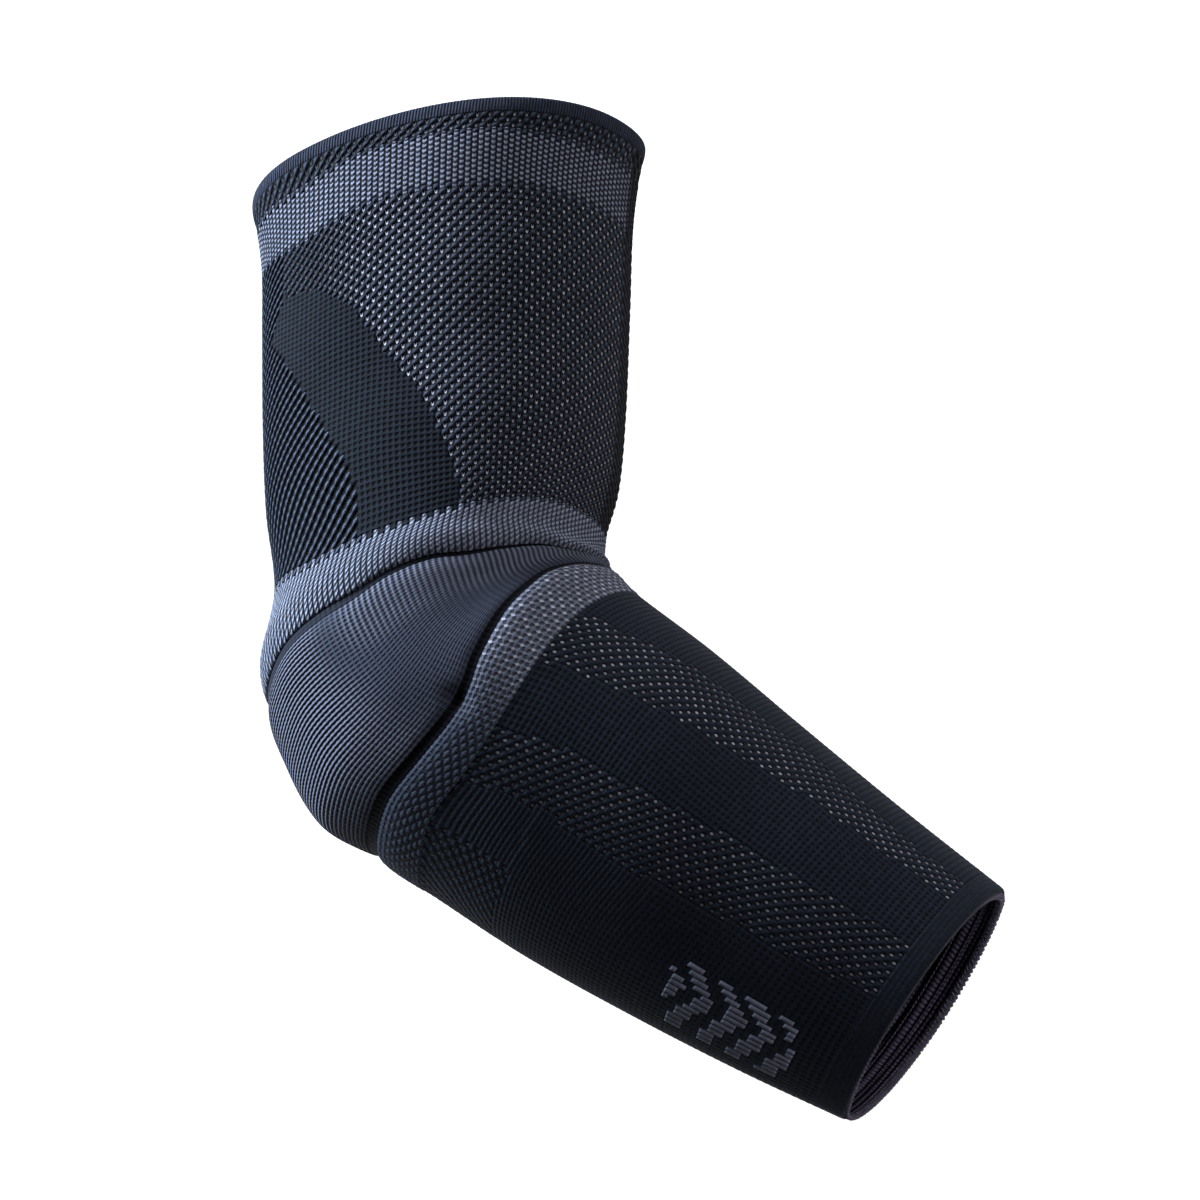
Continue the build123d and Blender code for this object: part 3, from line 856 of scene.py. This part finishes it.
def plainFinish(name, colourName, gapName, depth, courseShare):
    finish = Finish(name)
    u, v = finish.stitch()
    stitch = plainKnit(u, v)
    # painted shade in the holes between stitches
    colour = finish.blend(stitch, yarn[gapName], varied(finish, yarn[colourName], u, v, 0.35))
    height = stitch * (1 - courseShare) + abs((v * math.pi).sin()) * courseShare
    return finish.finished(colour, fuzz(finish, height), depth)


def beadFinish():
    finish = Finish("greyTensionKnit")
    u, v = finish.stitch()
    height = beads(u, v, 0.0, 0.2)
    # painted shade in the gaps between beads
    colour = finish.blend(height.ramp(0.15, 0.75), yarn["greyGap"], varied(finish, yarn["grey"], u, v, 0.3))
    # painted shade: where the fade drops to 0 the band turns near-black down the front fold edge
    colour = finish.blend(finish.fade(), yarn["line"], colour)
    return finish.finished(colour, fuzz(finish, height), 0.0006)


def blobFinish():
    finish = Finish("greyBandKnit")
    u, v = finish.stitch()
    height = beads(u, v, 0.7, 0.16)
    # painted shade in the gaps between beads, darker towards the back edge
    gaps = finish.blend(finish.fade(), yarn["greyGap"], yarn["capGap"])
    colour = finish.blend(height.ramp(0.05, 0.7), gaps, varied(finish, yarn["band"], u, v, 0.3))
    return finish.finished(colour, fuzz(finish, height), 0.0004)


def lowBandFinish():
    finish = Finish("greyLowBandKnit")
    u, v = finish.stitch()
    stitch = plainKnit(u, v)
    dots = spots(u, v, 1.2)
    # the ground is darker towards the back edge; the holes between stitches are painted shade, a third of
    # its tone
    ground = finish.blend(finish.fade(), yarn["lowBand"], yarn["cap"])
    colour = finish.blend(stitch, finish.tinted(ground, 0.35), varied(finish, ground, u, v))
    colour = dotted(finish, colour, dots * finish.fade(), 0.6)
    return finish.finished(colour, fuzz(finish, stitch + dots * 0.5), 0.0004)


def capFinish():
    # fade 0 shows rings along the courses, 0.5 a fine even grid, and 1 ribs along the wales
    finish = Finish("greyCapKnit")
    u, v = finish.stitch()
    calm = finish.fade().ramp(0.0, 0.5)
    rings = abs((v * math.pi).sin()) * (1 - calm * 0.92)
    ribs = abs((u * math.pi).sin()) * finish.fade().ramp(0.5, 1.0)
    stitch = plainKnit(u, v) * 0.3
    tone = (ribs * 0.6 + stitch + rings * 0.8).ramp(0.1, 0.95)
    # painted shade in the grooves between rings, ribs and stitches, darker where the rings show
    gaps = finish.blend(calm, yarn["greyGap"], yarn["capGap"])
    colour = finish.blend(tone, gaps, varied(finish, yarn["cap"], u, v, 0.15))
    return finish.finished(colour, fuzz(finish, rings + ribs * 0.9 + stitch), 0.0007)


def spottedFinish():
    finish = Finish("spottedKnit")
    u, v = finish.stitch()
    loops = ropes(u, v, 0.5)
    dots = spots(u, v, 0.9)
    # painted shade in the gaps where the loops are low
    colour = finish.blend(loops.ramp(0.2, 0.65), yarn["gap"], varied(finish, yarn["forearm"], u, v))
    colour = dotted(finish, colour, dots * finish.fade(), 0.3)
    return finish.finished(colour, fuzz(finish, loops + dots * 0.35), 0.0005)


def lineFinish():
    finish = Finish("darkLineKnit")
    u, v = finish.stitch()
    height = abs((u * math.pi).sin())
    colour = finish.blend(finish.fade(), yarn["capGap"], varied(finish, yarn["line"], u, v))
    return finish.finished(colour, fuzz(finish, height), 0.00015)


def weltFinish(name, perWale, colourName):
    finish = Finish(name)
    u, v = finish.stitch()
    ribs = abs(((u * perWale + v * 0.15) * math.pi).sin())
    threads = varied(finish, yarn[colourName], u * perWale, v, 0.4)
    # painted shade in the grooves between ribs
    colour = finish.blend(ribs.ramp(0.1, 0.75), yarn["gap"], threads)
    return finish.finished(colour, fuzz(finish, ribs), 0.0004)


def insideFinish():
    # the purl side: its yarn lightened as painted light falling into the openings, with painted shade in
    # the gaps between loops
    finish = Finish("insideKnitWithPaintedLight")
    u, v = finish.stitch()
    purl = abs((v * math.pi).sin()) * (0.25 + abs((u * math.pi).sin()) * 0.75)
    colour = finish.blend(purl.ramp(0.15, 0.75), yarn["insideGap"], varied(finish, yarn["inside"], u, v))
    return finish.finished(colour, fuzz(finish, purl), 0.0005)


def badgeFinish():
    finish = Finish("badgeKnit")
    u, v = finish.stitch()
    rows = abs((u * math.pi).sin())
    # painted shade between the rows
    colour = finish.blend(rows.ramp(0.05, 0.5), yarn["greyGap"], varied(finish, yarn["badge"], u, v, 0.3))
    return finish.finished(colour, fuzz(finish, rows), 0.0003)


def overlockFinish():
    finish = Finish("overlockThread")
    u, v = finish.stitch()
    strands = abs(((u * 3 + v) * math.pi).sin())
    threads = varied(finish, yarn["overlock"], u * 3, v, 0.4)
    # between the strands the inside colour shows, with its painted light
    colour = finish.blend(strands.ramp(0.1, 0.8), yarn["inside"], threads)
    return finish.finished(colour, fuzz(finish, strands), 0.0003)


def paddingFinish():
    finish = Finish("innerPadding")
    nap = finish.noise(0.0011, 4.0)
    colour = finish.blend(nap.ramp(0.3, 0.7), yarn["insideGap"], yarn["padding"])
    return finish.finished(colour, nap, 0.0006)


print("making the finishes")
# the inside finish carries painted light in its colour; it goes on the inner faces and the hems
inside = insideFinish()
finishes = {
    "mesh": meshFinish(), "rope": ropeFinish(),
    "plain": plainFinish("darkPlainKnit", "plain", "gap", 0.0004, 0.25),
    "forearm": plainFinish("darkForearmKnit", "forearm", "forearmGap", 0.0003, 0.3),
    "front": plainFinish("darkFrontKnit", "forearm", "forearmGap", 0.00035, 0.75),
    "bead": beadFinish(), "blob": blobFinish(), "lowBand": lowBandFinish(), "cap": capFinish(),
    "spots": spottedFinish(),
    "line": lineFinish(), "welt": weltFinish("darkWelt", 2.0, "welt"),
    "endWelt": plainFinish("darkEndWelt", "endWelt", "forearm", 0.0001, 0.5), "badge": badgeFinish(),
    "overlock": overlockFinish(), "padding": paddingFinish(),
}

# ---- the knit pieces ----
# name, finish, the record's material slot
knitPieces = [
    ("upper_welt", "welt", "dark_welt"), ("upper_cuff_band", "mesh", "dark_mesh_knit"),
    ("upper_tension_band", "bead", "grey_tension_knit"), ("posterior_rib_panel", "rope", "dark_rib_knit"),
    ("lateral_side_panel", "plain", "dark_plain_knit"), ("medial_side_panel", "plain", "dark_plain_knit"),
    ("anterior_mesh_panel", "mesh", "dark_mesh_knit"), ("elbow_upper_band", "blob", "grey_tension_knit"),
    ("elbow_upper_line", "line", "dark_line_knit"), ("elbow_cap", "cap", "grey_cap_knit"),
    ("elbow_lower_line", "line", "dark_line_knit"), ("elbow_lower_band", "lowBand", "grey_tension_knit"),
    ("forearm_front_panel", "front", "dark_plain_knit"), ("lateral_stripe_a", "spots", "spotted_knit"),
    ("medial_stripe_a", "spots", "spotted_knit"), ("lateral_plain_panel", "forearm", "dark_plain_knit"),
    ("medial_plain_panel", "forearm", "dark_plain_knit"), ("lateral_stripe_b", "spots", "spotted_knit"),
    ("medial_stripe_b", "spots", "spotted_knit"), ("lateral_gusset", "forearm", "dark_plain_knit"),
    ("medial_gusset", "forearm", "dark_plain_knit"), ("elbow_point_patch", "spots", "spotted_knit"),
    ("forearm_back_panel", "forearm", "dark_plain_knit"), ("forearm_welt", "endWelt", "dark_welt"),
    ("lateral_emblem", "badge", "badge_print"),
]
rides = {"upper_welt": "upper_arm", "upper_cuff_band": "upper_arm", "upper_tension_band": "upper_arm",
         "forearm_welt": "forearm", "lateral_emblem": "forearm"}


def measureCells(cloth):
    # width and length of every stitch as knitted, in metres
    corner = cloth["plain"]
    round_ = np.linalg.norm(np.roll(corner, -1, 1) - corner, axis=-1)
    down = np.linalg.norm(np.diff(corner, axis=0), axis=-1)
    cloth["cellWidth"] = (round_[:-1] + round_[1:]) / 2
    cloth["cellLength"] = (down + np.roll(down, -1, 1)) / 2


for cloth in cloths:
    measureCells(cloth)


def flatSize(cloth, cells):
    # the cut piece: its wales and courses at their relaxed size, and its true area
    relax = stitches["relaxed"]
    wide, long = cloth["cellWidth"], cloth["cellLength"]
    rows = np.nonzero(cells.any(axis=1))[0]
    width = max(wide[row][cells[row]].sum() for row in rows)
    length = sum(long[row][cells[row]].mean() for row in rows)
    area = (wide * long)[cells].sum() * relax * relax
    wales = int(cells.sum(axis=1).max())
    return (float(width * relax), float(length * relax)), float(area), wales, len(rows)


print("building the knit pieces")
pieces = {}
flats = {}
for name, finish, slotName in knitPieces:
    cloth = next(cloth for cloth in cloths if (cloth["zone"] == code[name]).any())
    cells = cloth["zone"] == code[name]
    piece = knitPiece(name + "_knit", cloth, cells, [finishes[finish], inside])
    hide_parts(name)
    if name in rides:
        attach(piece, rides[name])
    else:
        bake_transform(piece)
    pieces[name] = piece
    flats[name] = flatSize(cloth, cells)
    print("  ", name, "%d stitches" % cells.sum())


# ---- layers inside ----
def ringShell(name, cloth, start, stop, near, far, lump, finishList, beyond=None, steps=10):
    # a closed ring between two places and two depths; lump(u, v) adds height to both faces in mm.
    # Round its section: out along the near face, over the end, back along the far face
    section = np.linspace(0, 2 * math.pi, 2 * steps, endpoint=False)
    power = 0.45
    alongShare = np.sign(np.cos(section)) * np.abs(np.cos(section)) ** power
    depthShare = np.sign(np.sin(section)) * np.abs(np.sin(section)) ** power
    place = (start + stop) / 2 + alongShare * (stop - start) / 2
    depth = (near + far) / 2 + depthShare * (far - near) / 2
    columns = cloth["columns"]
    rowIndex = int(np.argmin(np.abs(cloth["place"][:, 0] - (start + stop) / 2)))
    turn = cloth["turn"][rowIndex]
    u = np.arange(columns) / fineStep
    height = lump(u[None, :], section[:, None])
    place = place[:, None] + (beyond(turn)[None, :] if beyond else np.zeros((1, columns)))
    base = sleevePoint(np.clip(place, 0, sleeveEnd), turn[None, :], depth[:, None])
    wayOut = np.array([math.cos(math.radians(sleeve["restBend"] - 90)),
                       math.sin(math.radians(sleeve["restBend"] - 90)), 0.0])
    base = base + np.maximum(place - sleeveEnd, 0)[..., None] * wayOut
    centre = base.mean(axis=0, keepdims=True)
    away = base - centre
    away /= np.linalg.norm(away, axis=-1)[..., None] + 1e-9
    points = toRow(base + away * height[..., None])
    rowsNow, columnsNow = points.shape[:2]
    i, j = np.meshgrid(np.arange(rowsNow), np.arange(columnsNow), indexing="ij")
    below, beside = (i + 1) % rowsNow, (j + 1) % columnsNow
    quad = np.stack([i * columnsNow + j, i * columnsNow + beside, below * columnsNow + beside,
                     below * columnsNow + j], -1).reshape(-1, 4)[:, ::-1]
    uA, vA = j / 3.0, i / 2.0
    stitchUv = np.stack([np.stack([uA, uA + 1 / 3, uA + 1 / 3, uA], -1),
                         np.stack([vA, vA, vA + 0.5, vA + 0.5], -1)], -1).reshape(-1, 4, 2)[:, ::-1]
    bakeUv = stitchUv / np.array([columnsNow / 3.0, rowsNow / 2.0])
    piece = meshFromFaces(name, points.reshape(-1, 3), quad.ravel(), np.full(len(quad), 4),
                          stitchUv.reshape(-1, 2), bakeUv.reshape(-1, 2), np.zeros(len(quad), int),
                          np.zeros(len(quad), bool), None)
    for finish in finishList:
        piece.data.materials.append(finish)
    return piece


def paddingShell(name, start, stop, edge, near, thick, finish):
    # a cushion behind the cap: its thickness is a crown that falls to nothing at the four sides
    along = np.linspace(-1, 1, 25)
    across = np.linspace(-1, 1, 61)
    v, u = np.meshgrid(along, across, indexing="ij")
    limit = math.acos(-edge)
    turn = u * limit
    place = (start + stop) / 2 + v * (stop - start) / 2
    crown = (np.clip(1 - np.abs(u) ** 8, 0, 1) * np.clip(1 - np.abs(v) ** 4, 0, 1)) ** 0.5
    quilt = 1 - 0.18 * np.abs(np.cos(np.pi * u * 7)) ** 12
    nearFace = toRow(sleevePoint(place, turn, near + thick / 2 - crown * thick / 2))
    farFace = toRow(sleevePoint(place, turn, near + thick / 2 + crown * quilt * thick / 2))
    rowsNow, columnsNow = place.shape
    edgeMask = np.zeros(place.shape, bool)
    edgeMask[[0, -1]] = True
    edgeMask[:, [0, -1]] = True
    ids = np.arange(rowsNow * columnsNow).reshape(place.shape)
    far = np.where(edgeMask, ids, ids + ids.size)
    quads = []
    uvs = []
    for grid, flip in ((ids, False), (far, True)):
        q = np.stack([grid[:-1, :-1], grid[:-1, 1:], grid[1:, 1:], grid[1:, :-1]], -1).reshape(-1, 4)
        c = np.stack([np.stack([s[:-1, :-1], s[:-1, 1:], s[1:, 1:], s[1:, :-1]], -1).reshape(-1, 4)
                      for s in (u, v)], -1)
        quads.append(q[:, ::-1] if flip else q)
        uvs.append(c[:, ::-1] if flip else c)
    points = np.concatenate([nearFace.reshape(-1, 3), farFace.reshape(-1, 3)])
    corners = np.concatenate(quads)
    uv = np.concatenate(uvs).reshape(-1, 2)
    half = len(uv) // 2
    bakeUv = uv * [0.495, 0.24] + [0.5, 0.75]
    bakeUv[half:, 1] -= 0.5
    used, packed = np.unique(corners.ravel(), return_inverse=True)
    piece = meshFromFaces(name, points[used], packed, np.full(len(corners), 4), uv * [60, 12], bakeUv,
                          np.zeros(len(corners), int), np.zeros(len(corners), bool), None)
    piece.data.materials.append(finish)
    piece.data.flip_normals()
    return piece


print("building the layers inside")
wall, layerGap = sleeve["wall"], 0.2
overlock = {"width": 2.0, "lump": 0.3, "perWale": 1.0, "beyond": 1.7}
hems = {                        # millimetres; the forearm hem's ends are told from the opening
    "upperStart": 0.7, "upperStop": 11.0, "forearmStart": 6.8, "forearmStop": 2.8,
    "thick": 0.8, "forearmThick": 0.4, "forearmGap": 0.05,
}
cushion = {                     # edge is the share across at which the cushion ends, 0 in the middle
    "start": 142.0, "stop": 162.0, "edge": 0.05, "gap": 0.6, "thick": 2.8,
}


def overTheEdge(turn):
    # underneath the thread stands out past the edge; on top it stays tucked inside
    return between(-0.5, overlock["beyond"], (1 - np.sin(turn)) / 2)


def noLump(u, section):
    return 0.05 * np.sin(2 * math.pi * u) + 0 * section


def overlockLump(u, section):
    # loops of thread thrown over the edge, one or so a stitch, none quite like the next
    wander = 0.35 * np.sin(u * 0.9) + 0.3 * np.sin(u * 2.3 + 1)
    return overlock["lump"] * np.sin(2 * math.pi * overlock["perWale"] * u + section * 0.8 + wander)


upperNear = wall + layerGap
forearmNear = wall + hems["forearmGap"]
upperHem = ringShell("upper_hem_layer", upperCloth, hems["upperStart"], hems["upperStop"], upperNear,
                     upperNear + hems["thick"], noLump, [inside])
forearmHem = ringShell("forearm_hem_layer", lowerCloth, sleeveEnd - hems["forearmStart"],
                       sleeveEnd - hems["forearmStop"], forearmNear,
                       forearmNear + hems["forearmThick"], noLump, [inside])
overlockRing = ringShell("forearm_overlock_thread", lowerCloth, sleeveEnd - overlock["width"], sleeveEnd,
                         0.7, wall + 0.3, overlockLump, [finishes["overlock"]], overTheEdge)
for piece, node, body, slotName in ((upperHem, "upper_hem", "upper_arm", "inner_hem"),
                                    (forearmHem, "forearm_hem", "forearm", "inner_hem"),
                                    (overlockRing, "forearm_overlock", "forearm", "overlock_thread")):
    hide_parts(node)
    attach(piece, body)

padding = paddingShell("elbow_cap_padding_foam", cushion["start"], cushion["stop"], cushion["edge"],
                       wall + cushion["gap"], cushion["thick"], finishes["padding"])
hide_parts("elbow_cap_padding")
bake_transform(padding)

# narrow bands go with the panel that they are knitted on to
narrow = {
    "upper_tension_band": ["upper_welt", "upper_cuff_band"],
    "elbow_cap": ["elbow_upper_line", "elbow_lower_line", "elbow_upper_band", "elbow_lower_band"],
    "forearm_back_panel": ["forearm_welt", "lateral_emblem"],
}
extras = {"upper_tension_band": [upperHem], "forearm_back_panel": [forearmHem, overlockRing]}
withOthers = {name for names in narrow.values() for name in names}
for name, piece in pieces.items():
    if name in withOthers:
        continue
    flat, area, wales, courses = flats[name]
    going = [pieces[other] for other in narrow.get(name, [])] + extras.get(name, [])
    print("  ", name, "flat %.1f x %.1f mm," % (flat[0] * 1000, flat[1] * 1000),
          "%d wales, %d courses" % (wales, courses))

# ---- floor, light and camera ----
studio = {
    "floor": rgb(150, 150, 151),
    "white": rgb(250, 250, 250),
    "glow": 1.1,
    "air": (0.93, 0.96, 1.0, 1),
    "world": 0.035,
}
lamps = [                       # name, place, aim and size in metres, watts, colour
    ("keyLeft", (-0.97, 0.54, 0.26), (-0.03, 0.0, 0.04), (0.35, 0.35), 39.0, (0.74, 0.87, 1.0)),
    ("softTop", (0.12, 0.95, 0.72), (0.0, 0.0, 0.04), (0.5, 0.5), 8.5, (0.93, 0.96, 1.0)),
    ("fillRight", (0.57, -0.32, 0.32), (0.09, -0.1, 0.03), (0.3, 0.3), 1.2, (1.0, 0.94, 1.0)),
]


def floorSheet(level):
    # a flat square, 6 m a side, just under the object; it throws no light back on the object
    mesh = bpy.data.meshes.new("studioFloor")
    mesh.from_pydata([(-3, -3, level), (3, -3, level), (3, 3, level), (-3, 3, level)], [], [(0, 1, 2, 3)])
    floor = bpy.data.objects.new("studioFloor", mesh)
    bpy.context.scene.collection.objects.link(floor)
    finish = Finish("studioPaper")
    shader = finish.node("ShaderNodeBsdfPrincipled", {}, {
        "Base Color": studio["floor"], "Roughness": 0.9, "Specular IOR Level": 0.1,
        "Emission Color": studio["white"], "Emission Strength": studio["glow"]})
    finish.node("ShaderNodeOutputMaterial", {}, {"Surface": shader})
    mesh.materials.append(finish.material)
    floor.visible_diffuse = False


def areaLight(name, place, aim, size, power, colour):
    lamp = bpy.data.lights.new(name, "AREA")
    lamp.shape = "RECTANGLE"
    lamp.size, lamp.size_y = size
    lamp.energy = power
    lamp.color = colour
    light = bpy.data.objects.new(name, lamp)
    bpy.context.scene.collection.objects.link(light)
    light.location = place
    light.visible_camera = False
    way = np.array(aim, float) - np.array(place, float)
    yaw = math.atan2(-way[0], way[1])
    light.rotation_euler = (math.acos(-way[2] / np.linalg.norm(way)), 0, yaw)


print("setting the stage")
low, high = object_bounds()
floorSheet(low[2] - 0.0002)
world = bpy.data.worlds.new("studioAir")
bpy.context.scene.world = world
world.use_nodes = True
background = world.node_tree.nodes["Background"].inputs
background[0].default_value = studio["air"]
background[1].default_value = studio["world"]
for lamp in lamps:
    areaLight(*lamp)

view = {
    "target": (-0.00413, -0.00285, 0.038),
    "elevation": 62.0,
    "distance": 1.150,
    "lens": 138.0,
    "sensor": 36.0,
    "clipEnd": 20.0,
}
cameraData = bpy.data.cameras.new("viewCamera")
camera = bpy.data.objects.new("viewCamera", cameraData)
bpy.context.scene.collection.objects.link(camera)
cameraData.lens = view["lens"]
cameraData.sensor_width = view["sensor"]
cameraData.clip_end = view["clipEnd"]
tilt = math.radians(view["elevation"])
camera.location = (view["target"][0], view["target"][1] - view["distance"] * math.cos(tilt),
                   view["target"][2] + view["distance"] * math.sin(tilt))
camera.rotation_euler = (math.pi / 2 - tilt, 0, 0)
bpy.context.scene.camera = camera
bpy.context.scene.view_settings.view_transform = "Standard"

print("done")
